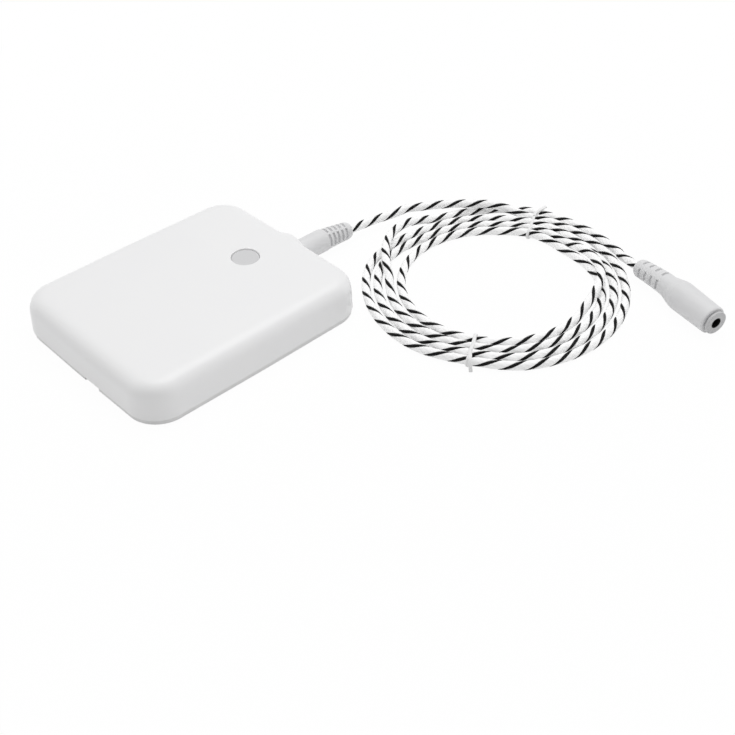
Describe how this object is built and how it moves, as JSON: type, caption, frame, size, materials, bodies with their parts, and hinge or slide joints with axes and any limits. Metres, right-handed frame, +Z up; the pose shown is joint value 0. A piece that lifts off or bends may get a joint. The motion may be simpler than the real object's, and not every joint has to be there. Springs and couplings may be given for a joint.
{
  "type": "water leak sensor",
  "caption": "Flat rounded-rectangle leak sensor with a top button and a coiled sensing cord that plugs into its end and carries an extension socket.",
  "frame": {"origin": "Middle of the housing with its jack pad, on the floor under the feet", "axes": "+Z up, +X along the housing's length towards the plug, +Y across its width"},
  "size_m": [0.1936, 0.1749, 0.0156],
  "materials": {
    "housing_plastic": "white moulded plastic with a soft sheen",
    "button_plastic": "light grey moulded plastic",
    "cover_plastic": "pale grey moulded plastic",
    "dark_plastic": "black moulded plastic",
    "lens_plastic": "clear cream lens",
    "board_laminate": "green lacquered laminate",
    "plated_steel": "nickel plated sheet and wire",
    "can_aluminium": "drawn can",
    "contact_brass": "plated contact brass",
    "cell_jacket": "printed film over a steel can, left plain",
    "seal_rubber": "moulded seal cord",
    "foot_rubber": "soft grey rubber",
    "grip_plastic": "soft grey overmoulding",
    "insert_plastic": "grey moulded plastic",
    "cord_braid": "white strands laid with thin black wires",
    "tie_plastic": "white plastic band"
  },
  "bodies": {
    "housing": {"top_shell": "housing_plastic", "switch_body": "dark_plastic", "status_led": "lens_plastic", "circuit_board": "board_laminate", "radio_board": "board_laminate", "shield_can": "plated_steel", "control_chip": "dark_plastic", "storage_capacitor": "can_aluminium", "jack_body": "dark_plastic", "jack_pins": "contact_brass", "board_screws": "plated_steel", "battery_tray": "housing_plastic", "tray_screws": "plated_steel", "battery_1": "cell_jacket", "battery_2": "cell_jacket", "battery_3": "cell_jacket", "battery_4": "cell_jacket", "far_bridges": "plated_steel", "near_bridge": "plated_steel", "terminals": "plated_steel"},
    "button": {"button_cap": "button_plastic", "switch_plunger": "dark_plastic"},
    "cover": {"bottom_cover": "cover_plastic", "cover_seal": "seal_rubber", "rubber_feet": "foot_rubber"},
    "cable": {"plug_grip": "grip_plastic", "plug_sleeve": "contact_brass", "plug_insulator": "dark_plastic", "plug_tip": "contact_brass", "cord_lead": "cord_braid", "cord_coil": "cord_braid", "cord_tail": "cord_braid", "front_tie": "tie_plastic", "rear_tie": "tie_plastic", "socket_grip": "grip_plastic", "socket_insert": "insert_plastic", "socket_contact": "contact_brass"}
  },
  "joints": [
    {"name": "button_press", "type": "slide", "parent": "housing", "child": "button", "axis": [0, 0, -1], "range_m": [0, 0.0004], "stiffness_N_per_m": 2000, "springref_m": -0.0004},
    {"name": "cover_release", "type": "slide", "parent": "housing", "child": "cover", "axis": [0, 0, -1], "range_m": [0, 0.025]},
    {"name": "plug_pull", "type": "slide", "parent": "housing", "child": "cable", "axis": [1, 0, 0], "range_m": [0, 0.02]}
  ]
}
